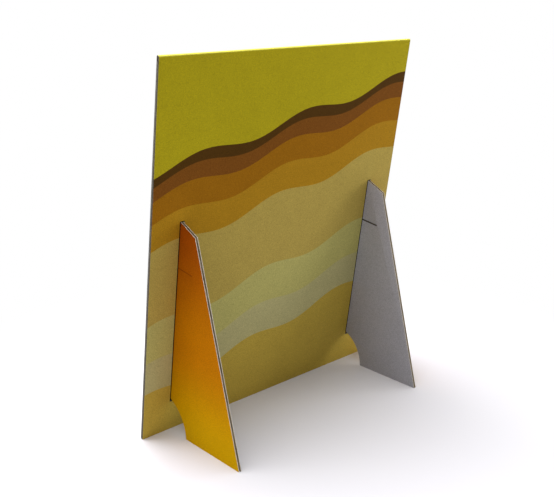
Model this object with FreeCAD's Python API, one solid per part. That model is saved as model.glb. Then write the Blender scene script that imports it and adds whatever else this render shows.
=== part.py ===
import FreeCAD, Part
import math
import os

# Cardboard display stand: a corrugated sheet folded over its top edge into a two-ply panel that
# leans back, held up by two flat board feet that pass through upright slots in the back ply.
# Millimetres. +Z is up, the front of the panel looks to -Y and the feet reach out to +Y.
# The origin is on the ground, under the middle of the whole stand. Left and right are as seen
# from the front, so the left foot is on -X.

# Panel, measured along its own face
PANEL_WIDTH = 297.0
PANEL_HEIGHT = 350.0
PANEL_LEAN_DEG = 8.3        # backwards from upright, turning about the back face's bottom edge

# Board of the panel, one ply
PLY_THICKNESS = 1.5
PLY_LINER = 0.2
PLY_MEDIUM = 0.15
PLY_FLUTE_PITCH = 3.4
PLY_FLUTE_CREST = 0.6       # flat top of a flute, where it is glued to a liner

# Fold along the top edge
FOLD_CRUSH = 3.0            # height below the round of the fold in which the flutes are pressed shut

# Board of the feet, single wall
FOOT_THICKNESS = 2.9
FOOT_LINER = 0.5
FOOT_MEDIUM = 0.25
FOOT_FLUTE_PITCH = 6.4
FOOT_FLUTE_CREST = 1.2

# Outline of a foot, seen from the side
FOOT_INSET = 29.5           # from the panel's side edge to the foot's outer face
FOOT_APEX = 208.7           # where its top meets the back face, along the face from the bottom
FOOT_CORNER_OUT = 49.2      # upper corner, level distance from the back face's bottom edge
FOOT_CORNER_UP = 196.9
FOOT_TOE_OUT = 101.6
FOOT_HEEL_OUT = 26.5        # where the flat bottom begins
FOOT_HEEL_RADIUS = 36.0     # round cut-out from the heel up to the back face

# Slit in a foot, square to the panel, from the edge in the slot outwards. It is cut from the inner
# face and leaves the printed outer liner whole.
SLIT_HEIGHT = 166.4         # along the back face from the bottom
SLIT_LENGTH = 19.8          # out from the back face
SLIT_KERF = 0.7

# Slot in the back ply, round the foot's edge
SLOT_SIDE_CLEARANCE = 0.95
SLOT_LOWER_CLEARANCE = 3.1
SLOT_UPPER_CLEARANCE = 0.8


# Values that follow from the sizes above
LEAN = math.radians(PANEL_LEAN_DEG)
PANEL_THICKNESS = 2 * PLY_THICKNESS
FOLD_RADIUS = PLY_THICKNESS
FLUTES_END = PANEL_HEIGHT - FOLD_RADIUS - FOLD_CRUSH
FRONT_REACH = PANEL_THICKNESS * math.cos(LEAN)
CENTRE_SHIFT = (FRONT_REACH - FOOT_TOE_OUT) / 2
BEYOND = 5.0                # how far a cutting tool runs past what it cuts


def point(x, y, z):
    return FreeCAD.Vector(x, y, z)


def on_panel(outwards, along):
    """Side-view place (level, up) from the distance out of the back face and the height along it."""
    level = outwards * math.cos(LEAN) + along * math.sin(LEAN)
    up = along * math.cos(LEAN) - outwards * math.sin(LEAN)
    return level, up


def area_vector(corners):
    """Twice the area of a flat polygon, along the normal that its corners turn round."""
    total = point(0, 0, 0)
    for corner, following in zip(corners, corners[1:] + corners[:1]):
        total += corner.cross(following)
    return total


def face_with_holes(outline, holes):
    """Flat face from lists of corners. Holes turn the other way round from the outline."""
    polygons = [outline]
    for corners in holes:
        same_turn = area_vector(corners).dot(area_vector(outline)) > 0
        polygons.append(corners[::-1] if same_turn else corners)
    return Part.Face([Part.makePolygon(corners + [corners[0]]) for corners in polygons])


class Board:
    """Corrugated board, one wall: two liners with a wavy medium between them."""

    def __init__(self, length, thickness, liner, medium, pitch, crest):
        self.count = round(length / pitch)
        self.pitch = length / self.count
        self.low = liner
        self.low_inner = liner + medium
        self.high = thickness - liner
        self.high_inner = thickness - liner - medium
        self.narrow = crest / 2
        self.wide = (self.pitch - crest) / 2

    def under_crest(self, centre):
        """Channel below a crest of the medium, as corners (along the board, through it)."""
        return [
            (centre - self.wide, self.low),
            (centre + self.wide, self.low),
            (centre + self.narrow, self.high_inner),
            (centre - self.narrow, self.high_inner),
        ]

    def over_trough(self, centre):
        """Channel above a trough of the medium."""
        return [
            (centre - self.narrow, self.low_inner),
            (centre + self.narrow, self.low_inner),
            (centre + self.wide, self.high),
            (centre - self.wide, self.high),
        ]

    def channels(self):
        """All channels closed all round; the half channels at both ends are part of the outline."""
        crests = [self.under_crest(i * self.pitch) for i in range(1, self.count)]
        troughs = [self.over_trough((i + 0.5) * self.pitch) for i in range(self.count)]
        return crests + troughs

    def start_notch(self):
        """Half channel that lies open at the start of the board, from the low side up."""
        return [
            (0, self.low),
            (self.wide, self.low),
            (self.narrow, self.high_inner),
            (0, self.high_inner),
        ]


def panel_section():
    """Section of the two plies, across the width (x) and through the board (y = 0 at the back)."""
    ply = Board(PANEL_WIDTH, PLY_THICKNESS, PLY_LINER, PLY_MEDIUM, PLY_FLUTE_PITCH, PLY_FLUTE_CREST)

    def in_back(corner):
        return point(corner[0] - PANEL_WIDTH / 2, -corner[1], 0)

    def in_front(corner):
        return point(corner[0] - PANEL_WIDTH / 2, corner[1] - PANEL_THICKNESS, 0)

    back_half = [(0, 0)] + ply.start_notch()
    left_side = [in_back(corner) for corner in back_half]
    left_side += [in_front(corner) for corner in reversed(back_half)]
    right_side = [point(-corner.x, corner.y, 0) for corner in reversed(left_side)]
    holes = [[place(corner) for corner in channel] for place in (in_back, in_front)
             for channel in ply.channels()]
    return face_with_holes(left_side + right_side, holes)


def folded_top():
    """Pressed band and round of the fold, closing the flutes of both plies at the top."""
    middle = -PLY_THICKNESS
    spring = PANEL_HEIGHT - FOLD_RADIUS
    left = -PANEL_WIDTH / 2
    back_low = point(left, 0, FLUTES_END)
    back_high = point(left, 0, spring)
    crown = point(left, middle, PANEL_HEIGHT)
    front_high = point(left, -PANEL_THICKNESS, spring)
    front_low = point(left, -PANEL_THICKNESS, FLUTES_END)
    edges = [
        Part.makeLine(back_low, back_high),
        Part.Arc(back_high, crown, front_high).toShape(),
        Part.makeLine(front_high, front_low),
        Part.makeLine(front_low, back_low),
    ]
    return Part.Face(Part.Wire(edges)).extrude(point(PANEL_WIDTH, 0, 0))


def foot_outline():
    """Side view of a foot as a closed wire in the plane of y (level) and z (up)."""
    seat = -PLY_THICKNESS
    arc_level = FOOT_HEEL_OUT - FOOT_HEEL_RADIUS
    fold_low = heel_meets_back()
    lower_seat = on_panel(seat, fold_low)
    lower_back = on_panel(0, fold_low)
    apex = on_panel(0, FOOT_APEX)
    upper_seat = on_panel(seat, FOOT_APEX)
    turn = (math.atan2(lower_back[1], lower_back[0] - arc_level)) / 2
    arc_middle = (
        arc_level + FOOT_HEEL_RADIUS * math.cos(turn),
        FOOT_HEEL_RADIUS * math.sin(turn),
    )
    heel = (FOOT_HEEL_OUT, 0)
    toe = (FOOT_TOE_OUT, 0)
    corner = (FOOT_CORNER_OUT, FOOT_CORNER_UP)

    def at(place):
        return point(0, place[0], place[1])

    straight = [(heel, toe), (toe, corner), (corner, apex), (apex, upper_seat)]
    straight += [(upper_seat, lower_seat), (lower_seat, lower_back)]
    edges = [Part.makeLine(at(start), at(end)) for start, end in straight]
    edges.append(Part.Arc(at(lower_back), at(arc_middle), at(heel)).toShape())
    return Part.Wire(Part.__sortEdges__(edges))


def heel_meets_back():
    """Height along the back face at which the heel's round cut-out reaches it."""
    arc_level = FOOT_HEEL_OUT - FOOT_HEEL_RADIUS
    half = arc_level * math.sin(LEAN)
    return half + math.sqrt(half ** 2 + FOOT_HEEL_RADIUS ** 2 - arc_level ** 2)


def foot_blank():
    """Piece of board with upright flutes, large enough for the foot, outer face at x = 0."""
    start = on_panel(-PLY_THICKNESS, 0)[0] - BEYOND
    length = FOOT_TOE_OUT + BEYOND - start
    height = max(on_panel(0, FOOT_APEX)[1], FOOT_CORNER_UP) + BEYOND
    board = Board(length, FOOT_THICKNESS, FOOT_LINER, FOOT_MEDIUM, FOOT_FLUTE_PITCH, FOOT_FLUTE_CREST)

    def in_place(corners):
        return [point(-through, start + along, 0) for along, through in corners]

    outline = in_place([(0, 0), (length, 0), (length, FOOT_THICKNESS), (0, FOOT_THICKNESS)])
    holes = [in_place(channel) for channel in board.channels()]
    return face_with_holes(outline, holes).extrude(point(0, 0, height))


def slit():
    """Thin cutter that opens the foot from its inner face up to its outer liner."""
    inside = PLY_THICKNESS + BEYOND
    depth = FOOT_THICKNESS - FOOT_LINER + BEYOND
    corner = point(-FOOT_LINER - depth, -inside, SLIT_HEIGHT - SLIT_KERF / 2)
    cutter = Part.makeBox(depth, inside + SLIT_LENGTH, SLIT_KERF, corner)
    cutter.rotate(point(0, 0, 0), point(1, 0, 0), -PANEL_LEAN_DEG)
    return cutter


def foot():
    """Foot with its outer face at x = 0 and its board towards -x."""
    shape = Part.Face(foot_outline()).extrude(point(-FOOT_THICKNESS, 0, 0))
    shape = foot_blank().common(shape)
    return shape.cut(slit())


def slot():
    """Cutter for the slot that takes the foot with its outer face at x = 0, in panel terms."""
    low = heel_meets_back() - SLOT_LOWER_CLEARANCE
    high = FOOT_APEX + SLOT_UPPER_CLEARANCE
    width = FOOT_THICKNESS + 2 * SLOT_SIDE_CLEARANCE
    corner = point(SLOT_SIDE_CLEARANCE - width, -PLY_THICKNESS, low)
    return Part.makeBox(width, PLY_THICKNESS + BEYOND, high - low, corner)


def moved(shape, x):
    copy = shape.copy()
    copy.translate(point(x, 0, 0))
    return copy


def mirrored(shape):
    return shape.mirror(point(0, 0, 0), point(1, 0, 0))


def display_panel():
    sheet = panel_section().extrude(point(0, 0, FLUTES_END))
    sheet = sheet.fuse(folded_top())
    right_slot = moved(slot(), PANEL_WIDTH / 2 - FOOT_INSET)
    sheet = sheet.cut([right_slot, mirrored(right_slot)])
    sheet.rotate(point(0, 0, 0), point(1, 0, 0), -PANEL_LEAN_DEG)
    return sheet


def single_solid(shape):
    """The shape as one clean solid, standing with the whole stand centred over the origin."""
    clean = shape.removeSplitter()
    if len(clean.Solids) != 1:
        raise ValueError("expected one solid, found %d" % len(clean.Solids))
    solid = clean.Solids[0]
    solid.translate(point(0, CENTRE_SHIFT, 0))
    return solid


def build():
    right_foot = moved(foot(), PANEL_WIDTH / 2 - FOOT_INSET)
    return {
        "display_panel": single_solid(display_panel()),
        "left_foot": single_solid(mirrored(right_foot)),
        "right_foot": single_solid(right_foot),
    }


os.makedirs("parts", exist_ok=True)
for name, shape in build().items():
    shape.exportStep("parts/%s.step" % name)
    box = shape.BoundBox
    print(name, "volume %.1f" % shape.Volume, "box", box)
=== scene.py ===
"""Cardboard display stand: a folded, printed corrugated sheet on two slotted-in board feet."""
import logging
import math
from dataclasses import dataclass
from enum import Enum
from typing import Callable, Dict, List, Optional, Sequence, Tuple

import bpy
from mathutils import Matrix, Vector


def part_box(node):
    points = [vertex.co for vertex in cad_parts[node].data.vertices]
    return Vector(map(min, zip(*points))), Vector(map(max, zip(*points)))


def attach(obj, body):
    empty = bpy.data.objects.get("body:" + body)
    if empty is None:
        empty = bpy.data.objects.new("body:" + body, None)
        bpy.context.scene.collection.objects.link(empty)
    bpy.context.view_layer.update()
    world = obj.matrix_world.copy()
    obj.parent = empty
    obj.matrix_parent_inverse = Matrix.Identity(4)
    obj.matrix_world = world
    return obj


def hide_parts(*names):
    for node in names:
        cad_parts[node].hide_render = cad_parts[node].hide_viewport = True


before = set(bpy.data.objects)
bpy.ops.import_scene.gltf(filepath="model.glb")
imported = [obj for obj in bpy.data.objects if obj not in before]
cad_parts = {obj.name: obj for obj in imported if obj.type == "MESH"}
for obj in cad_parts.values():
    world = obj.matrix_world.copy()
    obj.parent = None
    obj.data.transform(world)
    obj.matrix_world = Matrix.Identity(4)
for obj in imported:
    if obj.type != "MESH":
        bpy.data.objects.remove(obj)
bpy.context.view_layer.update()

LOG = logging.getLogger("display_stand")
MM = 0.001
PANEL_HEIGHT = 350 * MM
PANEL_LEAN = math.radians(8.3)

# Points closer than this are merged
MERGE_GAP = 0.002 * MM
# How far a cutter runs past what it cuts
BEYOND = 5 * MM
# Rounding of the cut edges, and the turn of a surface from which an edge is rounded
SHEET_EDGE_ROUNDING = 0.04 * MM
FOOT_EDGE_ROUNDING = 0.06 * MM
ROUNDED_FROM = math.radians(40)
# The turn up to which flat and waved paper is shaded smooth, and the steps in one wave
FLAT_SMOOTH = math.radians(32)
WAVE_SMOOTH = math.radians(50)
WAVE_STEPS = 14
# A face looks along a direction when the cosine between its normal and that is above this
FACING = 0.9

Colour = Tuple[float, float, float, float]
Place = Tuple[float, float, float]


class Side(Enum):
    """Side of the stand, as seen from the front, with its direction along x."""

    LEFT = -1
    RIGHT = 1


class Ply(Enum):
    """Ply of the folded sheet."""

    BACK = "back"
    FRONT = "front"


def srgb(red: float, green: float, blue: float) -> Colour:
    """A colour as it is seen, 0 to 255, turned into the linear values that a shader takes.

    Args:
        red: Red, 0 to 255.
        green: Green, 0 to 255.
        blue: Blue, 0 to 255.

    Returns:
        Linear red, green and blue, and an alpha of 1.
    """

    def linear(value: float) -> float:
        """One channel."""
        share = value / 255
        return share / 12.92 if share <= 0.04045 else ((share + 0.055) / 1.055) ** 2.4

    return linear(red), linear(green), linear(blue), 1.0


@dataclass(frozen=True)
class BoardGrade:
    """Corrugated board: two liners with a wavy medium between them. Metres."""

    thickness: float
    liner: float
    medium: float
    pitch: float

    @property
    def middle(self) -> float:
        """Depth of the medium's centre line below the board's face."""
        return self.thickness / 2

    @property
    def swing(self) -> float:
        """How far the medium's centre line swings to either side of the middle."""
        return (self.thickness - 2 * self.liner - self.medium) / 2


MICRO_FLUTE = BoardGrade(thickness=1.5 * MM, liner=0.2 * MM, medium=0.15 * MM, pitch=3.4 * MM)
SINGLE_WALL = BoardGrade(thickness=2.9 * MM, liner=0.5 * MM, medium=0.25 * MM, pitch=6.4 * MM)


@dataclass(frozen=True)
class FootOutline:
    """Outline of a foot seen from the side, from the panel's lower back edge outwards. Metres."""

    inset: float = 29.5 * MM
    apex: float = 208.7 * MM
    corner: Tuple[float, float] = (49.2 * MM, 196.9 * MM)
    toe: float = 101.6 * MM
    heel: float = 26.5 * MM
    heel_radius: float = 36.0 * MM
    slit_height: float = 166.4 * MM
    slit_length: float = 19.8 * MM
    slit_kerf: float = 0.7 * MM

    def heel_meets_back(self, lean: float) -> float:
        """Height along the back face at which the heel's round cut-out reaches it.

        Args:
            lean: Lean of the panel in radians.

        Returns:
            The height.
        """
        arc_level = self.heel - self.heel_radius
        half = arc_level * math.sin(lean)
        return half + math.sqrt(half ** 2 + self.heel_radius ** 2 - arc_level ** 2)


@dataclass(frozen=True)
class Stance:
    """How the panel stands: its lean in radians, and its back face's lower edge along y."""

    lean: float
    shift: float

    def on_panel(self, outwards: float, along: float) -> Tuple[float, float]:
        """Side-view place on the leaning panel.

        Args:
            outwards: Distance out of the back face.
            along: Height along the back face.

        Returns:
            The level distance from the lower back edge, and the height.
        """
        level = outwards * math.cos(self.lean) + along * math.sin(self.lean)
        up = along * math.cos(self.lean) - outwards * math.sin(self.lean)
        return level, up

    def off_panel(self, place: Vector) -> Tuple[float, float]:
        """Distance of a place out of the back face, and its height along it.

        Args:
            place: The place.

        Returns:
            The distance and the height.
        """
        level = place.y - self.shift
        out = level * math.cos(self.lean) - place.z * math.sin(self.lean)
        return out, level * math.sin(self.lean) + place.z * math.cos(self.lean)


# Modelling by hand: selection, extrusion and modifiers


def pick(piece: bpy.types.Object) -> None:
    """Makes the piece the only selected and the active object.

    Args:
        piece: The object.
    """
    if bpy.context.mode != "OBJECT":
        bpy.ops.object.mode_set(mode="OBJECT")
    bpy.ops.object.select_all(action="DESELECT")
    piece.select_set(True)
    bpy.context.view_layer.objects.active = piece


def start_plane(name: str, corners: Sequence[Place]) -> bpy.types.Object:
    """A new four-cornered sheet.

    Args:
        name: Name of the object.
        corners: Its four corners in turn.

    Returns:
        The object, with its place in its mesh.
    """
    bpy.ops.object.select_all(action="DESELECT")
    bpy.ops.mesh.primitive_plane_add(size=1.0, calc_uvs=False)
    piece = bpy.context.object
    piece.name = name
    ring = list(piece.data.polygons[0].vertices)
    for index, corner in zip(ring, corners):
        piece.data.vertices[index].co = corner
    return piece


def start_edge(name: str, start: Place, end: Place) -> bpy.types.Object:
    """A single edge, selected and in edit mode, ready to be extruded.

    Args:
        name: Name of the object.
        start: One end.
        end: The other end.

    Returns:
        The object.
    """
    piece = start_plane(name, (start, end, end, start))
    ring = list(piece.data.polygons[0].vertices)
    select_parts(piece, "VERT", lambda vertex: vertex.index in ring[2:])
    bpy.ops.mesh.delete(type="VERT")
    bpy.ops.mesh.select_all(action="SELECT")
    return piece


def select_parts(piece: bpy.types.Object, kind: str, wanted: Callable[[object], bool]) -> None:
    """Selects some vertices or edges of the piece and stays in edit mode.

    Args:
        piece: The object.
        kind: "VERT" or "EDGE".
        wanted: Tells from a vertex or an edge whether it is selected.
    """
    pick(piece)
    bpy.ops.object.mode_set(mode="EDIT")
    bpy.ops.mesh.select_mode(type=kind)
    bpy.ops.mesh.select_all(action="DESELECT")
    bpy.ops.object.mode_set(mode="OBJECT")
    parts = piece.data.vertices if kind == "VERT" else piece.data.edges
    for part in parts:
        part.select = wanted(part)
    bpy.ops.object.mode_set(mode="EDIT")


def extrude(step: Place) -> None:
    """Extrudes what is selected in edit mode by a step and leaves the new part selected."""
    bpy.ops.mesh.extrude_region_move(TRANSFORM_OT_translate={"value": step})


def add_modifier(piece: bpy.types.Object, kind: str, **settings: object) -> None:
    """Adds one modifier and applies it.

    Args:
        piece: The object.
        kind: The modifier's type.
        **settings: Its settings by name.
    """
    pick(piece)
    modifier = piece.modifiers.new(kind.title(), kind)
    for key, value in settings.items():
        setattr(modifier, key, value)
    bpy.ops.object.modifier_apply(modifier=modifier.name)


def thicken(piece: bpy.types.Object, thickness: float) -> None:
    """Gives a sheet its thickness, half to each side."""
    add_modifier(piece, "SOLIDIFY", thickness=thickness, offset=0.0, use_even_offset=True)
    clean(piece)


def clean(piece: bpy.types.Object) -> None:
    """Merges doubled points and turns all faces outwards.

    Args:
        piece: The object.
    """
    pick(piece)
    bpy.ops.object.mode_set(mode="EDIT")
    bpy.ops.mesh.select_all(action="SELECT")
    bpy.ops.mesh.remove_doubles(threshold=MERGE_GAP)
    bpy.ops.mesh.normals_make_consistent(inside=False)
    bpy.ops.object.mode_set(mode="OBJECT")


def block(name: str, low: Place, high: Place) -> bpy.types.Object:
    """A box between two corners, used as a cutter.

    Args:
        name: Name of the object.
        low: Its lowest corner.
        high: Its highest corner.

    Returns:
        The box.
    """
    bpy.ops.object.select_all(action="DESELECT")
    middle = [(a + b) / 2 for a, b in zip(low, high)]
    size = [b - a for a, b in zip(low, high)]
    bpy.ops.mesh.primitive_cube_add(size=1.0, location=middle, scale=size)
    cutter = bpy.context.object
    cutter.name = name
    bpy.ops.object.transform_apply(location=True, rotation=True, scale=True)
    return cutter


def carve(piece: bpy.types.Object, cutter: bpy.types.Object, operation: str = "DIFFERENCE") -> None:
    """Cuts the piece with the cutter, or keeps only what lies inside it."""
    add_modifier(piece, "BOOLEAN", operation=operation, solver="EXACT", object=cutter)


def discard(piece: bpy.types.Object) -> None:
    """Removes a cutter that has done its work."""
    bpy.data.objects.remove(piece, do_unlink=True)


def soften(piece: bpy.types.Object, width: float) -> None:
    """Rounds the sharp edges a little, as cut paper is.

    Args:
        piece: The object.
        width: Width of the rounding.
    """
    add_modifier(
        piece, "BEVEL", width=width, segments=2, limit_method="ANGLE",
        angle_limit=ROUNDED_FROM, use_clamp_overlap=True,
    )
    pick(piece)
    bpy.ops.object.shade_smooth_by_angle(angle=FLAT_SMOOTH)


def join(name: str, layers: List[bpy.types.Object]) -> bpy.types.Object:
    """Glues the layers of one board into one object.

    Args:
        name: Name of the board.
        layers: Its layers, the first of which takes in the others.

    Returns:
        The board.
    """
    pick(layers[0])
    for layer in layers[1:]:
        layer.select_set(True)
    bpy.ops.object.join()
    board = bpy.context.object
    board.name = name
    board.data.name = name
    return board


def wave_sheet(
    name: str, start: float, length: float, low: float, high: float, grade: BoardGrade, toward: float
) -> bpy.types.Object:
    """The wavy medium of a board, along x, with its flutes upright and its face at y = 0.

    Args:
        name: Name of the object.
        start: Where the board begins along x.
        length: Length of the board.
        low: Lower end of the flutes.
        high: Upper end of the flutes.
        grade: The board.
        toward: +1 if the board lies on the +y side of its face, -1 if on the -y side.

    Returns:
        The medium as a solid sheet.
    """
    flutes = round(length / grade.pitch)
    pitch = length / flutes
    depths = [
        toward * (grade.middle + grade.swing * math.cos(2 * math.pi * step / WAVE_STEPS))
        for step in range(WAVE_STEPS + 1)
    ]
    sheet = start_edge(name, (start, depths[0], low), (start, depths[0], high))
    for here, following in zip(depths, depths[1:]):
        extrude((pitch / WAVE_STEPS, following - here, 0))
    bpy.ops.object.mode_set(mode="OBJECT")
    add_modifier(
        sheet, "ARRAY", count=flutes, use_relative_offset=False, use_constant_offset=True,
        constant_offset_displace=(pitch, 0, 0), use_merge_vertices=True, merge_threshold=MERGE_GAP,
    )
    thicken(sheet, grade.medium)
    for vertex in sheet.data.vertices:
        vertex.co.x = min(max(vertex.co.x, start), start + length)
    pick(sheet)
    bpy.ops.object.shade_smooth_by_angle(angle=WAVE_SMOOTH)
    return sheet


def paint(
    piece: bpy.types.Object, finishes: Sequence[bpy.types.Material],
    choose: Optional[Callable[[Vector, Vector], int]] = None,
) -> None:
    """Gives each face one of the finishes.

    Args:
        piece: The object.
        finishes: Its materials.
        choose: Picks the finish's index from a face's centre and normal. Without it all faces
            have the first finish.
    """
    piece.data.materials.clear()
    for finish in finishes:
        piece.data.materials.append(finish)
    for face in piece.data.polygons:
        face.material_index = choose(face.center, face.normal) if choose else 0


# Shared effects


def new_group(name: str, inputs: Dict[str, float], outputs: Sequence[str]) -> bpy.types.ShaderNodeTree:
    """A shader node group with a Vector input, number inputs and number outputs.

    Args:
        name: Name of the group.
        inputs: Number inputs and their defaults.
        outputs: Names of the number outputs.

    Returns:
        The group, with its input and output nodes in place.
    """
    group = bpy.data.node_groups.new(name, "ShaderNodeTree")
    group.interface.new_socket("Vector", in_out="INPUT", socket_type="NodeSocketVector")
    for key, default in inputs.items():
        socket = group.interface.new_socket(key, in_out="INPUT", socket_type="NodeSocketFloat")
        socket.default_value = default
    for key in outputs:
        group.interface.new_socket(key, in_out="OUTPUT", socket_type="NodeSocketFloat")
    group.nodes.new("NodeGroupInput").name = "In"
    group.nodes.new("NodeGroupOutput").name = "Out"
    return group


class Wiring:
    """Short ways to add and join nodes in one node tree."""

    def __init__(self, tree: bpy.types.NodeTree) -> None:
        """Keeps the tree."""
        self.tree = tree

    def add(
        self, kind: str, values: Optional[Dict[object, object]] = None, **settings: object
    ) -> bpy.types.Node:
        """Adds a node.

        Args:
            kind: Its type.
            values: Input values or links by socket name or number.
            **settings: Its own settings.

        Returns:
            The node.
        """
        node = self.tree.nodes.new(kind)
        for key, value in settings.items():
            setattr(node, key, value)
        for key, value in (values or {}).items():
            self.feed(node.inputs[key], value)
        return node

    def feed(self, socket: bpy.types.NodeSocket, value: object) -> None:
        """Links an output to a socket, or sets the socket's own value."""
        if isinstance(value, bpy.types.NodeSocket):
            self.tree.links.new(value, socket)
        else:
            socket.default_value = value

    def maths(self, operation: str, *values: object, clamp: bool = False) -> bpy.types.NodeSocket:
        """Result of a math node."""
        node = self.add("ShaderNodeMath", dict(enumerate(values)), operation=operation, use_clamp=clamp)
        return node.outputs[0]

    def ramp(
        self, value: object, low: float, high: float, to_low: float = 0.0, to_high: float = 1.0
    ) -> bpy.types.NodeSocket:
        """The value mapped smoothly from one range to another.

        Args:
            value: The value.
            low: Start of its range.
            high: End of its range.
            to_low: Result at the start.
            to_high: Result at the end.

        Returns:
            The result.
        """
        node = self.add("ShaderNodeMapRange", interpolation_type="SMOOTHSTEP")
        for key, entry in zip(
            ("Value", "From Min", "From Max", "To Min", "To Max"), (value, low, high, to_low, to_high)
        ):
            self.feed(node.inputs[key], entry)
        return node.outputs["Result"]

    def blend(self, share: object, first: object, second: object, how: str = "MIX") -> bpy.types.NodeSocket:
        """Two colours mixed.

        Args:
            share: Share of the second colour.
            first: The first colour.
            second: The second colour.
            how: The blend type.

        Returns:
            The mixed colour.
        """
        node = self.add("ShaderNodeMix", data_type="RGBA", blend_type=how)
        self.feed(node.inputs[0], share)
        self.feed(node.inputs[6], first)
        self.feed(node.inputs[7], second)
        return node.outputs[2]

    def noise(
        self, vector: object, scale: object, detail: float, roughness: float
    ) -> bpy.types.NodeSocket:
        """Noise, 0 to 1."""
        values = {"Vector": vector, "Scale": scale, "Detail": detail, "Roughness": roughness}
        return self.add("ShaderNodeTexNoise", values).outputs[0]

    def parts(self, vector: object) -> List[bpy.types.NodeSocket]:
        """The x, y and z of a vector."""
        return list(self.add("ShaderNodeSeparateXYZ", {0: vector}).outputs)

    def object_place(self) -> bpy.types.NodeSocket:
        """The Object coordinates."""
        return self.add("ShaderNodeTexCoord").outputs["Object"]

    def seen_directly(self) -> bpy.types.NodeSocket:
        """1 for rays from the camera or off a mirrored or clear surface, else 0.

        Returns:
            The mask.
        """
        rays = self.add("ShaderNodeLightPath").outputs
        seen = self.maths("MAXIMUM", rays["Is Camera Ray"], rays["Is Glossy Ray"])
        return self.maths("MAXIMUM", seen, rays["Is Transmission Ray"])


def paper_grain_group() -> bpy.types.ShaderNodeTree:
    """Fine tooth and faint clouds of paper: a tone about 0.5 and a height.

    Returns:
        The group.
    """
    group = new_group("paper_grain", {"Fine": 1200.0, "Cloud": 45.0}, ("Tone", "Height"))
    wiring = Wiring(group)
    entry = group.nodes["In"].outputs
    fine = wiring.noise(entry["Vector"], entry["Fine"], 3.0, 0.65)
    cloud = wiring.noise(entry["Vector"], entry["Cloud"], 4.0, 0.6)
    cloud_share = 0.12
    tone = wiring.maths(
        "ADD", wiring.maths("MULTIPLY", fine, 1 - cloud_share), wiring.maths("MULTIPLY", cloud, cloud_share)
    )
    wiring.feed(group.nodes["Out"].inputs["Tone"], tone)
    wiring.feed(group.nodes["Out"].inputs["Height"], fine)
    return group


def paper_specks_group() -> bpy.types.ShaderNodeTree:
    """Darker fibres in unprinted paper: the share of their colour that shows.

    Returns:
        The group.
    """
    group = new_group("paper_specks", {"Scale": 900.0, "Strength": 0.35}, ("Share",))
    wiring = Wiring(group)
    entry = group.nodes["In"].outputs
    fibres = wiring.ramp(wiring.noise(entry["Vector"], entry["Scale"], 3.0, 0.7), 0.58, 0.72)
    share = wiring.maths("MULTIPLY", fibres, entry["Strength"])
    wiring.feed(group.nodes["Out"].inputs["Share"], share)
    return group


def washboard_group() -> bpy.types.ShaderNodeTree:
    """Faint ripple that the flutes press through a liner, across the first coordinate.

    Returns:
        The group.
    """
    group = new_group("washboard", {"Pitch": MICRO_FLUTE.pitch}, ("Height",))
    wiring = Wiring(group)
    entry = group.nodes["In"].outputs
    across = wiring.parts(entry["Vector"])[0]
    turns = wiring.maths("DIVIDE", across, entry["Pitch"])
    ripple = wiring.maths("SINE", wiring.maths("MULTIPLY", turns, 2 * math.pi))
    wiring.feed(group.nodes["Out"].inputs["Height"], ripple)
    return group


def swell_group() -> bpy.types.ShaderNodeTree:
    """Mask above one wavy border of the print. The vector is (across, through, up) on the panel.

    Returns:
        The group.
    """
    group = new_group(
        "print_swell",
        {"Level": 0.2, "Tilt": 0.1, "Amplitude": 0.005, "Length": 0.1, "Phase": 0.0, "Edge": 0.0002},
        ("Mask",),
    )
    wiring = Wiring(group)
    entry = group.nodes["In"].outputs
    across, _, up = wiring.parts(entry["Vector"])
    turns = wiring.maths("DIVIDE", across, entry["Length"])
    angle = wiring.maths("MULTIPLY_ADD", turns, 2 * math.pi, entry["Phase"])
    swell = wiring.maths("MULTIPLY", wiring.maths("SINE", angle), entry["Amplitude"])
    straight = wiring.maths("MULTIPLY_ADD", across, entry["Tilt"], entry["Level"])
    border = wiring.maths("ADD", straight, swell)
    above = wiring.maths("DIVIDE", wiring.maths("SUBTRACT", up, border), entry["Edge"])
    mask = wiring.maths("ADD", above, 0.5, clamp=True)
    wiring.feed(group.nodes["Out"].inputs["Mask"], mask)
    return group


@dataclass(frozen=True)
class Effects:
    """The shared node groups, each made once."""

    grain: bpy.types.ShaderNodeTree
    specks: bpy.types.ShaderNodeTree
    washboard: bpy.types.ShaderNodeTree
    swell: bpy.types.ShaderNodeTree

    @classmethod
    def make(cls) -> "Effects":
        """Makes the groups."""
        return cls(
            grain=paper_grain_group(), specks=paper_specks_group(), washboard=washboard_group(),
            swell=swell_group(),
        )


# Finishes


def new_material(name: str) -> Tuple[bpy.types.Material, Wiring, bpy.types.Node]:
    """A material with a Principled shader.

    Args:
        name: Its name.

    Returns:
        The material, its wiring and the shader node.
    """
    material = bpy.data.materials.new(name)
    material.use_nodes = True
    shader = material.node_tree.nodes["Principled BSDF"]
    return material, Wiring(material.node_tree), shader


def use_group(wiring: Wiring, group: bpy.types.ShaderNodeTree, values: Dict[str, object]) -> bpy.types.Node:
    """Places a shared group in a material with its own values.

    Args:
        wiring: The material's wiring.
        group: The group.
        values: Its input values or links.

    Returns:
        The group's node.
    """
    node = wiring.add("ShaderNodeGroup", node_tree=group)
    for key, value in values.items():
        wiring.feed(node.inputs[key], value)
    return node


def panel_place(wiring: Wiring, place: object, stance: Stance) -> bpy.types.NodeSocket:
    """Object coordinates turned into (across, out of the back face, along the panel).

    Args:
        wiring: The material's wiring.
        place: The Object coordinates.
        stance: How the panel stands.

    Returns:
        The turned coordinates.
    """
    lean, shift = stance.lean, stance.shift
    location = (0, -shift * math.cos(lean), -shift * math.sin(lean))
    values = {"Vector": place, "Rotation": (lean, 0, 0), "Location": location}
    return wiring.add("ShaderNodeMapping", values).outputs[0]


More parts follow.
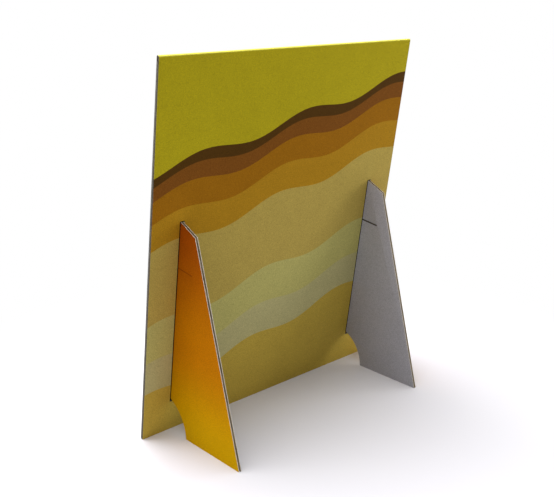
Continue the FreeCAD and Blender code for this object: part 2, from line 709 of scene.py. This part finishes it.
def slit_shade_line(
    wiring: Wiring, place: object, stance: Stance, outline: FootOutline, half: float, strength: float
) -> bpy.types.NodeSocket:
    """Mask of a soft line of painted shade along the slit of a foot.

    Args:
        wiring: The material's wiring.
        place: The Object coordinates.
        stance: How the panel stands.
        outline: Outline of the foot.
        half: Half the line's width in metres.
        strength: Value on the line.

    Returns:
        The mask.
    """
    _, out, along = wiring.parts(panel_place(wiring, place, stance))
    off = wiring.maths("ABSOLUTE", wiring.maths("SUBTRACT", along, outline.slit_height))
    line = wiring.ramp(off, 0.5 * half, 1.5 * half, strength, 0.0)
    return wiring.maths("MULTIPLY", line, wiring.maths("LESS_THAN", out, outline.slit_length))


@dataclass(frozen=True)
class PaperSurface:
    """How the bare surface of a paper behaves under light."""

    roughness: float = 0.72
    specular: float = 0.03
    tooth: float = 0.12
    tooth_depth: float = 0.05 * MM
    tone_swing: float = 0.2

    def apply(
        self, wiring: Wiring, shader: bpy.types.Node, effects: Effects, vector: object, colour: object,
        ripple: Optional[bpy.types.NodeSocket] = None, ripple_depth: float = 0.0,
    ) -> None:
        """Dresses the shader.

        Args:
            wiring: The material's wiring.
            shader: Its Principled shader.
            effects: The shared groups.
            vector: Coordinates for the grain.
            colour: The paper's or print's colour.
            ripple: Height of a ripple under the paper, if it has one.
            ripple_depth: Depth of that ripple in metres.
        """
        grain = use_group(wiring, effects.grain, {"Vector": vector})
        shade = wiring.ramp(grain.outputs["Tone"], 0.3, 0.7, 1 - self.tone_swing, 1 + self.tone_swing)
        tone = wiring.add("ShaderNodeCombineColor", {0: shade, 1: shade, 2: shade}).outputs[0]
        wiring.feed(shader.inputs["Base Color"], wiring.blend(1.0, colour, tone, "MULTIPLY"))
        shader.inputs["Roughness"].default_value = self.roughness
        shader.inputs["Specular IOR Level"].default_value = self.specular
        normal = wiring.add("ShaderNodeBump", {
            "Strength": self.tooth, "Distance": self.tooth_depth, "Height": grain.outputs["Height"],
        }).outputs[0]
        if ripple is not None:
            normal = wiring.add("ShaderNodeBump", {
                "Strength": 1.0, "Distance": ripple_depth, "Height": ripple, "Normal": normal,
            }).outputs[0]
        wiring.feed(shader.inputs["Normal"], normal)


@dataclass(frozen=True)
class Stripe:
    """One band of the print: the border below it and the colour above that border."""

    level: float
    colour: Colour


@dataclass(frozen=True)
class SheetPrint:
    """Generic print of the folded sheet: evenly swelling bands of desert colours, and a painted highlight
    along the top fold.
    """

    stance: Stance
    ground: Colour = srgb(192, 164, 70)
    # Painted highlight: a bright yellow band laid over the print along the top fold, standing in for the
    # light that falls there.
    fold: Colour = srgb(255, 250, 110)
    fold_highlight_start: float = 348.6 * MM
    fold_highlight_fade: float = 0.8 * MM
    fold_highlight_strength: float = 0.75
    tilt: float = -0.20
    amplitude: float = 5.0 * MM
    length: float = 118 * MM
    phase_step: float = 0.35
    ripple_depth: float = 0.004 * MM
    stripes: Tuple[Stripe, ...] = (
        Stripe(0.072, srgb(186, 178, 126)),
        Stripe(0.104, srgb(188, 180, 108)),
        Stripe(0.142, srgb(186, 162, 82)),
        Stripe(0.214, srgb(178, 132, 30)),
        Stripe(0.240, srgb(160, 106, 18)),
        Stripe(0.262, srgb(128, 78, 26)),
        Stripe(0.276, srgb(84, 56, 18)),
        Stripe(0.285, srgb(183, 167, 29)),
    )

    def make(self, effects: Effects) -> bpy.types.Material:
        """Makes the material.

        Args:
            effects: The shared groups.

        Returns:
            The material.
        """
        material, wiring, shader = new_material("printed_sheet")
        place = wiring.object_place()
        flat = panel_place(wiring, place, self.stance)
        colour: object = self.ground
        for number, stripe in enumerate(self.stripes):
            mask = use_group(wiring, effects.swell, {
                "Vector": flat, "Level": stripe.level, "Tilt": self.tilt, "Amplitude": self.amplitude,
                "Length": self.length, "Phase": self.phase_step * number,
            }).outputs["Mask"]
            colour = wiring.blend(mask, colour, stripe.colour)
        # Painted highlight along the top fold, faded in from just below it.
        fold_highlight_end = self.fold_highlight_start + self.fold_highlight_fade
        fold_highlight_mask = wiring.ramp(wiring.parts(flat)[2], self.fold_highlight_start, fold_highlight_end, 0.0, self.fold_highlight_strength)
        colour = wiring.blend(fold_highlight_mask, colour, self.fold)
        ripple = use_group(wiring, effects.washboard, {"Vector": flat}).outputs["Height"]
        PaperSurface().apply(wiring, shader, effects, place, colour, ripple, self.ripple_depth)
        return material


@dataclass(frozen=True)
class FootPrint:
    """Print of a foot's outer face: red-brown at the top running down to amber, with a line of painted
    shade where the slit lies behind it.
    """

    stance: Stance
    outline: FootOutline
    top: Colour = srgb(166, 76, 4)
    middle: Colour = srgb(196, 118, 0)
    bottom: Colour = srgb(212, 163, 0)
    # Painted shade: a darker orange line on the print along the slit behind the outer liner.
    crease_shade: Colour = srgb(112, 44, 4)
    top_height: float = 205 * MM
    middle_height: float = 95 * MM
    crease_shade_half: float = 0.55 * MM
    crease_shade_strength: float = 0.6

    def make(self, effects: Effects) -> bpy.types.Material:
        """Makes the material.

        Args:
            effects: The shared groups.

        Returns:
            The material.
        """
        material, wiring, shader = new_material("printed_foot_face")
        place = wiring.object_place()
        up = wiring.parts(place)[2]
        lower = wiring.ramp(up, 0.0, self.middle_height)
        upper = wiring.ramp(up, self.middle_height, self.top_height)
        colour = wiring.blend(upper, wiring.blend(lower, self.bottom, self.middle), self.top)
        # Painted shade along the slit.
        line = slit_shade_line(
            wiring, place, self.stance, self.outline, self.crease_shade_half, self.crease_shade_strength
        )
        colour = wiring.blend(line, colour, self.crease_shade)
        PaperSurface().apply(wiring, shader, effects, place, colour)
        return material


@dataclass(frozen=True)
class PlainPaper:
    """Unprinted paper: a liner's bare side, a cut edge or the medium; also the near-black painted shade
    inside slots and slits.
    """

    name: str
    colour: Colour
    fibre: Colour

    def make(self, effects: Effects) -> bpy.types.Material:
        """Makes the material.

        Args:
            effects: The shared groups.

        Returns:
            The material.
        """
        material, wiring, shader = new_material(self.name)
        place = wiring.object_place()
        specks = use_group(wiring, effects.specks, {"Vector": place}).outputs["Share"]
        colour = wiring.blend(specks, self.colour, self.fibre)
        PaperSurface(roughness=0.85, specular=0.2).apply(wiring, shader, effects, place, colour)
        return material


@dataclass(frozen=True)
class BareFootFace:
    """Unprinted inner face of a foot, with a near-black band of painted shade along its slit."""

    stance: Stance
    outline: FootOutline
    colour: Colour = srgb(177, 175, 184)
    fibre: Colour = srgb(151, 149, 158)
    # Painted shade: the near-black band round the mouth of the slit, wider than the cut itself.
    slit_mouth_shade: Colour = srgb(20, 18, 18)
    slit_mouth_shade_half: float = 0.75 * MM

    def make(self, effects: Effects) -> bpy.types.Material:
        """Makes the material.

        Args:
            effects: The shared groups.

        Returns:
            The material.
        """
        material, wiring, shader = new_material("bare_foot_face")
        place = wiring.object_place()
        specks = use_group(wiring, effects.specks, {"Vector": place}).outputs["Share"]
        colour = wiring.blend(specks, self.colour, self.fibre)
        # Painted shade along the slit.
        line = slit_shade_line(wiring, place, self.stance, self.outline, self.slit_mouth_shade_half, 1.0)
        colour = wiring.blend(line, colour, self.slit_mouth_shade)
        PaperSurface(roughness=0.85).apply(wiring, shader, effects, place, colour)
        return material


@dataclass(frozen=True)
class Finishes:
    """All materials of the stand."""

    sheet: bpy.types.Material
    foot: bpy.types.Material
    liner: bpy.types.Material
    edge: bpy.types.Material
    sheet_edge: bpy.types.Material
    medium: bpy.types.Material
    foot_medium: bpy.types.Material
    # Near-black painted shade for the insides of slots and slits, not a paper colour.
    inside: bpy.types.Material

    @classmethod
    def make(cls, effects: Effects, stance: Stance, outline: FootOutline) -> "Finishes":
        """Makes the materials.

        Args:
            effects: The shared groups.
            stance: How the panel stands.
            outline: Outline of the feet.

        Returns:
            The finishes.
        """

        def plain(name: str, colour: Colour, fibre: Colour) -> bpy.types.Material:
            """A material of unprinted paper."""
            return PlainPaper(name, colour, fibre).make(effects)

        return cls(
            sheet=SheetPrint(stance).make(effects),
            foot=FootPrint(stance, outline).make(effects),
            liner=BareFootFace(stance, outline).make(effects),
            edge=plain("cut_edge", srgb(240, 230, 216), srgb(206, 194, 178)),
            sheet_edge=plain("sheet_cut_edge", srgb(166, 162, 154), srgb(132, 126, 116)),
            # Flute medium of the panel: dark kraft paper, made darker still as painted shade for the gaps
            # between the flutes at the cut edges and in the slots.
            medium=plain("flute_medium_and_shade", srgb(72, 64, 54), srgb(56, 48, 40)),
            foot_medium=plain("foot_flute_medium", srgb(148, 133, 108), srgb(112, 98, 76)),
            # Painted shade: near-black paper for the panel's inner liners seen through the slots, and for
            # the feet's slit walls and parts in the slots.
            inside=plain("slot_painted_shade", srgb(26, 14, 8), srgb(20, 10, 6)),
        )


# Sub-assemblies


@dataclass
class DisplayPanel:
    """The folded sheet: two plies of micro-flute board with a rounded fold along the top."""

    width: float
    height: float
    stance: Stance
    outline: FootOutline
    crush: float = 3.0 * MM
    side_clearance: float = 0.95 * MM
    lower_clearance: float = 3.1 * MM
    upper_clearance: float = 0.8 * MM
    grade: BoardGrade = MICRO_FLUTE

    @property
    def flutes_end(self) -> float:
        """Height along the sheet at which the flutes are pressed shut."""
        return self.height - self.grade.thickness - self.crush

    @property
    def spring(self) -> float:
        """Height along the sheet at which the round of the fold begins."""
        return self.height - self.grade.thickness

    def outer_liner(self) -> bpy.types.Object:
        """The printed liner: up the back, round the fold and down the front, in one sheet.

        Returns:
            The liner.
        """
        half = self.width / 2
        inset = self.grade.liner / 2
        sheet = start_edge("outer_liner", (-half, -inset, 0), (half, -inset, 0))
        extrude((0, 0, self.flutes_end))
        extrude((0, 0, self.crush))
        bpy.ops.mesh.spin(
            steps=16, angle=-math.pi, center=(0, -self.grade.thickness, self.spring), axis=(1, 0, 0)
        )
        extrude((0, 0, -self.crush))
        extrude((0, 0, -self.flutes_end))
        bpy.ops.object.mode_set(mode="OBJECT")
        clean(sheet)
        thicken(sheet, self.grade.liner)
        return sheet

    def inner_liners(self) -> bpy.types.Object:
        """The two inner liners, glued to each other in the middle of the panel.

        Returns:
            The two liners as one sheet.
        """
        half, middle = self.width / 2, -self.grade.thickness
        top = self.flutes_end
        corners = ((-half, middle, 0), (half, middle, 0), (half, middle, top), (-half, middle, top))
        sheet = start_plane("inner_liners", corners)
        thicken(sheet, 2 * self.grade.liner)
        return sheet

    def medium(self, ply: Ply) -> bpy.types.Object:
        """The wavy paper of one ply.

        Args:
            ply: The ply.

        Returns:
            The medium.
        """
        sheet = wave_sheet(
            "medium_" + ply.value, -self.width / 2, self.width, 0, self.flutes_end, self.grade, -1
        )
        if ply is Ply.FRONT:
            for vertex in sheet.data.vertices:
                vertex.co.y = -2 * self.grade.thickness - vertex.co.y
            clean(sheet)
        return sheet

    def pressed_core(self) -> bpy.types.Object:
        """Liners and medium pressed together inside the fold.

        Returns:
            The core.
        """
        half, reach = self.width / 2, self.grade.thickness - self.grade.liner
        centre = -self.grade.thickness
        low = (-half, centre - reach, self.flutes_end)
        high = (half, centre + reach, self.spring + reach)
        core = block("pressed_core", low, high)

        def along_top(edge: bpy.types.MeshEdge) -> bool:
            """True for the two long edges of the top."""
            ends = [core.data.vertices[index].co for index in edge.vertices]
            return all(end.z > self.spring for end in ends) and abs(ends[0].x - ends[1].x) > half

        select_parts(core, "EDGE", along_top)
        nearly_round = 0.999 * reach
        bpy.ops.mesh.bevel(offset=nearly_round, segments=8, affect="EDGES")
        bpy.ops.object.mode_set(mode="OBJECT")
        clean(core)
        return core

    def slot_cutter(self, side: Side) -> bpy.types.Object:
        """Cutter for the slot of one foot through the back ply.

        Args:
            side: The foot's side.

        Returns:
            The cutter.
        """
        outer = self.width / 2 - self.outline.inset + self.side_clearance
        inner = outer - SINGLE_WALL.thickness - 2 * self.side_clearance
        low = self.outline.heel_meets_back(self.stance.lean) - self.lower_clearance
        high = self.outline.apex + self.upper_clearance
        across = sorted((side.value * outer, side.value * inner))
        return block(
            "slot_cutter", (across[0], -self.grade.thickness, low), (across[1], self.grade.thickness, high)
        )

    def build(self, finishes: Finishes) -> bpy.types.Object:
        """Models and dresses the panel.

        Args:
            finishes: The materials.

        Returns:
            The panel, standing in its place.
        """
        outer, inner = self.outer_liner(), self.inner_liners()
        back, front = self.medium(Ply.BACK), self.medium(Ply.FRONT)
        core = self.pressed_core()
        for side in Side:
            cutter = self.slot_cutter(side)
            for layer in (outer, inner, back):
                carve(layer, cutter)
            discard(cutter)
        for liner in (outer, inner):
            soften(liner, SHEET_EDGE_ROUNDING)
        paint(outer, (finishes.sheet, finishes.sheet_edge), self.side_of_liner)
        # The inner liners' broad faces, seen only through the slots, get the near-black painted shade.
        paint(
            inner, (finishes.inside, finishes.sheet_edge),
            lambda centre, normal: 0 if abs(normal.y) > FACING else 1,
        )
        # The panel's medium and pressed core take the dark medium finish, part kraft colour, part painted
        # shade.
        for layer in (back, front, core):
            paint(layer, (finishes.medium,))
        panel = join("display_panel_board", [outer, inner, back, front, core])
        self.lean_back(panel)
        return panel

    def lean_back(self, piece: bpy.types.Object) -> None:
        """Turns a piece made upright into the panel's lean and place.

        Args:
            piece: The piece.
        """
        piece.rotation_euler = (-self.stance.lean, 0, 0)
        piece.location = (0, self.stance.shift, 0)
        pick(piece)
        bpy.ops.object.transform_apply(location=True, rotation=True, scale=True)

    def side_of_liner(self, centre: Vector, normal: Vector) -> int:
        """0 where a face of the outer liner is on its printed side, else 1.

        Args:
            centre: The face's centre.
            normal: Its normal.

        Returns:
            The finish's index.
        """
        outwards = Vector((0, centre.y + self.grade.thickness, max(0.0, centre.z - self.spring)))
        reach = outwards.length
        middle = self.grade.thickness - self.grade.liner / 2
        faces_out = reach > 0 and normal.dot(outwards.normalized()) > FACING
        return 0 if reach > middle and faces_out else 1


@dataclass
class StandFoot:
    """One flat foot of single-wall board, edge-on in its slot."""

    side: Side
    panel: DisplayPanel
    outline: FootOutline
    grade: BoardGrade = SINGLE_WALL
    seat_margin: float = 0.02 * MM
    slit_margin: float = 0.05 * MM

    @property
    def outer_face(self) -> float:
        """Place of the printed face along x, on the right side."""
        return self.panel.width / 2 - self.outline.inset

    def blank(self, name: str, depth: float, thickness: float) -> bpy.types.Object:
        """A flat sheet with the foot's outline.

        Args:
            name: Name of the object.
            depth: Depth of its middle below the outer face.
            thickness: Its thickness.

        Returns:
            The solid sheet.
        """
        stance, shift = self.panel.stance, self.panel.stance.shift
        across = self.side.value * (self.outer_face - depth)
        apex = stance.on_panel(0, self.outline.apex)
        corner = self.outline.corner
        sheet = start_plane(name, (
            (across, shift, 0), (across, shift + self.outline.toe, 0),
            (across, shift + corner[0], corner[1]), (across, shift + apex[0], apex[1]),
        ))
        into_slot = stance.on_panel(-self.panel.grade.thickness, 0)
        furthest = shift + apex[0] + self.seat_margin

        def on_back(edge: bpy.types.MeshEdge) -> bool:
            """True for the edge that lies along the panel."""
            return all(sheet.data.vertices[index].co.y < furthest for index in edge.vertices)

        select_parts(sheet, "EDGE", on_back)
        extrude((0, into_slot[0], into_slot[1]))
        bpy.ops.object.mode_set(mode="OBJECT")
        thicken(sheet, thickness)
        cutter = self.heel_cutter()
        carve(sheet, cutter)
        discard(cutter)
        return sheet

    def in_slot(self, place: Vector) -> bool:
        """True for a place on the part of the foot that is pushed into the back ply."""
        return self.panel.stance.off_panel(place)[0] < -self.seat_margin

    def in_slit(self, place: Vector) -> bool:
        """True for a place on the walls of the slit.

        Args:
            place: The place.

        Returns:
            Whether it is.
        """
        out, along = self.panel.stance.off_panel(place)
        near = abs(along - self.outline.slit_height) < self.outline.slit_kerf
        return near and out < self.outline.slit_length + self.slit_margin

    def heel_cutter(self) -> bpy.types.Object:
        """Round cutter for the cut-out over the heel.

        Returns:
            The cutter.
        """
        radius = self.outline.heel_radius
        centre = self.panel.stance.shift + self.outline.heel - radius
        bpy.ops.object.select_all(action="DESELECT")
        bpy.ops.mesh.primitive_cylinder_add(
            vertices=160, radius=radius, depth=40 * MM,
            location=(self.side.value * self.outer_face, centre, 0), rotation=(0, math.pi / 2, 0),
        )
        cutter = bpy.context.object
        bpy.ops.object.transform_apply(location=True, rotation=True, scale=True)
        return cutter

    def medium(self) -> bpy.types.Object:
        """The wavy paper with upright flutes, cut to the foot's outline.

        Returns:
            The medium.
        """
        stance = self.panel.stance
        start = stance.on_panel(-self.panel.grade.thickness, 0)[0] - BEYOND
        length = self.outline.toe + BEYOND - start
        top = stance.on_panel(0, self.outline.apex)[1] + BEYOND
        sheet = wave_sheet("medium", start, length, -BEYOND, top, self.grade, 1)
        for vertex in sheet.data.vertices:
            along, depth, up = vertex.co
            vertex.co = (self.side.value * (self.outer_face - depth), stance.shift + along, up)
        clean(sheet)
        outline = self.blank("outline_cutter", self.grade.middle, 2 * self.grade.thickness)
        carve(sheet, outline, "INTERSECT")
        discard(outline)
        return sheet

    def slit_cutter(self) -> bpy.types.Object:
        """Cutter for the slit, from the inner face up to the outer liner.

        Returns:
            The cutter.
        """
        height, half = self.outline.slit_height, self.outline.slit_kerf / 2
        across = sorted((
            self.side.value * (self.outer_face - self.grade.liner),
            self.side.value * (self.outer_face - self.grade.thickness - BEYOND),
        ))
        low = (across[0], -self.panel.grade.thickness - BEYOND, height - half)
        high = (across[1], self.outline.slit_length, height + half)
        cutter = block("slit_cutter", low, high)
        self.panel.lean_back(cutter)
        return cutter

    def build(self, finishes: Finishes) -> bpy.types.Object:
        """Models and dresses the foot.

        Args:
            finishes: The materials.

        Returns:
            The foot in its place.
        """
        liner = self.grade.liner
        outer = self.blank("outer_liner", liner / 2, liner)
        inner = self.blank("inner_liner", self.grade.thickness - liner / 2, liner)
        medium = self.medium()
        cutter = self.slit_cutter()
        for layer in (inner, medium):
            carve(layer, cutter)
        discard(cutter)
        for layer in (outer, inner):
            soften(layer, FOOT_EDGE_ROUNDING)

        def which(normal: Vector, shows_to: int) -> int:
            """Side that shows 0, cut edges 1, side on the flutes 3.

            Args:
                normal: The face's normal.
                shows_to: 1 outwards, -1 inwards.

            Returns:
                The finish's index.
            """
            turn = normal.x * self.side.value * shows_to
            if turn > FACING:
                return 0
            return 3 if turn < -FACING else 1

        def outside(centre: Vector, normal: Vector) -> int:
            """As which(), for the printed liner, with 2, the near-black painted shade, for its part in the
            slot.
            """
            return 2 if self.in_slot(centre) else which(normal, 1)

        def within(centre: Vector, normal: Vector) -> int:
            """As which(), for the bare liner, with 2, the near-black painted shade, for its slit and its
            part in the slot.
            """
            return 2 if self.in_slot(centre) or self.in_slit(centre) else which(normal, -1)

        # Index 2 is the near-black painted shade of the slot and slit.
        others = (finishes.edge, finishes.inside, finishes.foot_medium)
        paint(outer, (finishes.foot,) + others, outside)
        paint(inner, (finishes.liner,) + others, within)
        paint(medium, (finishes.foot_medium,))
        return join(self.side.name.lower() + "_foot_board", [outer, inner, medium])


@dataclass(frozen=True)
class SoftLamp:
    """A square soft lamp: its place, what it points at, the length of its sides, its power in watts."""

    name: str
    place: Place
    aim: Place
    size: float
    power: float

    def hang(self) -> None:
        """Adds the lamp to the scene."""
        data = bpy.data.lights.new(self.name, "AREA")
        data.shape = "SQUARE"
        data.size = self.size
        data.energy = self.power
        lamp = bpy.data.objects.new(self.name, data)
        bpy.context.scene.collection.objects.link(lamp)
        lamp.location = self.place
        aim = Vector(self.aim) - Vector(self.place)
        lamp.rotation_euler = aim.to_track_quat("-Z", "Y").to_euler()


@dataclass(frozen=True)
class Studio:
    """Pale floor, plain soft light and the camera. Metres."""

    camera_place: Place = (0.5267, 0.5457, 0.3986)
    camera_view: Place = (-0.6448, -0.7044, -0.2967)
    focal_length: float = 55.57
    floor_size: float = 12.0
    floor_seen: Colour = (0.80, 0.79, 0.84, 1.0)
    floor_bounce: Colour = (0.62, 0.62, 0.62, 1.0)
    shaded_to: float = 0.14
    white_from: float = 0.42
    world_strength: float = 0.41
    lamps: Tuple[SoftLamp, ...] = (
        SoftLamp("key_lamp", (0.15, -0.45, 1.4), (0, 0, 0), 1.5, 40.0),
        SoftLamp("side_lamp", (-1.3, 0.8, 0.16), (0, 0, 0.03), 0.5, 5.0),
    )

    def floor(self) -> None:
        """The floor, white away from the stand and shaded by it nearby."""
        bpy.ops.object.select_all(action="DESELECT")
        bpy.ops.mesh.primitive_plane_add(size=self.floor_size)
        floor = bpy.context.object
        floor.name = "studio_floor"
        material, wiring, shader = new_material("studio_floor")
        shader.inputs["Roughness"].default_value = 0.9
        shader.inputs["Specular IOR Level"].default_value = 0.0
        seen = wiring.seen_directly()
        wiring.feed(shader.inputs["Base Color"], wiring.blend(seen, self.floor_bounce, self.floor_seen))
        place = wiring.object_place()
        away = wiring.add("ShaderNodeVectorMath", {0: place}, operation="LENGTH").outputs["Value"]
        far = wiring.ramp(away, self.shaded_to, self.white_from)
        white = wiring.maths("MULTIPLY", far, seen)
        glow = wiring.add("ShaderNodeEmission", {"Color": (1, 1, 1, 1), "Strength": 1.0})
        blend = wiring.add("ShaderNodeMixShader", {0: white, 1: shader.outputs[0], 2: glow.outputs[0]})
        output = material.node_tree.nodes["Material Output"]
        wiring.feed(output.inputs["Surface"], blend.outputs[0])
        floor.data.materials.append(material)

    def world(self) -> None:
        """Even light from all round, white where the camera sees it."""
        world = bpy.data.worlds.new("studio_world")
        world.use_nodes = True
        wiring = Wiring(world.node_tree)
        seen = wiring.seen_directly()
        background = world.node_tree.nodes["Background"]
        background.inputs["Color"].default_value = (1, 1, 1, 1)
        wiring.feed(background.inputs["Strength"], wiring.ramp(seen, 0.0, 1.0, self.world_strength, 1.0))
        bpy.context.scene.world = world

    def camera(self) -> None:
        """The camera at the photograph's place."""
        data = bpy.data.cameras.new("camera")
        data.sensor_width = 36.0
        data.sensor_fit = "HORIZONTAL"
        data.lens = self.focal_length
        camera = bpy.data.objects.new("camera", data)
        bpy.context.scene.collection.objects.link(camera)
        camera.location = self.camera_place
        camera.rotation_euler = Vector(self.camera_view).to_track_quat("-Z", "Y").to_euler()
        bpy.context.scene.camera = camera

    def build(self) -> None:
        """Sets up the whole studio."""
        self.floor()
        self.world()
        for lamp in self.lamps:
            lamp.hang()
        self.camera()
        bpy.context.scene.view_settings.view_transform = "Standard"


def main() -> None:
    """Builds the stand and the studio."""
    logging.basicConfig(level=logging.INFO, format="%(name)s: %(message)s")
    outline = FootOutline()
    low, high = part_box("display_panel")
    _, foot_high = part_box("right_foot")
    stance = Stance(lean=PANEL_LEAN, shift=foot_high.y - outline.toe)
    finishes = Finishes.make(Effects.make(), stance, outline)
    panel = DisplayPanel(high.x - low.x, PANEL_HEIGHT, stance, outline)
    pieces = {"display_panel": (panel.build(finishes), "printed_sheet")}
    for side in Side:
        foot = StandFoot(side, panel, outline)
        pieces[side.name.lower() + "_foot"] = (foot.build(finishes), "printed_foot_board")
    for node, (piece, slot) in pieces.items():
        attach(piece, "root")
        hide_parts(node)
        LOG.info("%s: %d faces", piece.name, len(piece.data.polygons))
    Studio().build()


if __name__ == "__main__":
    main()
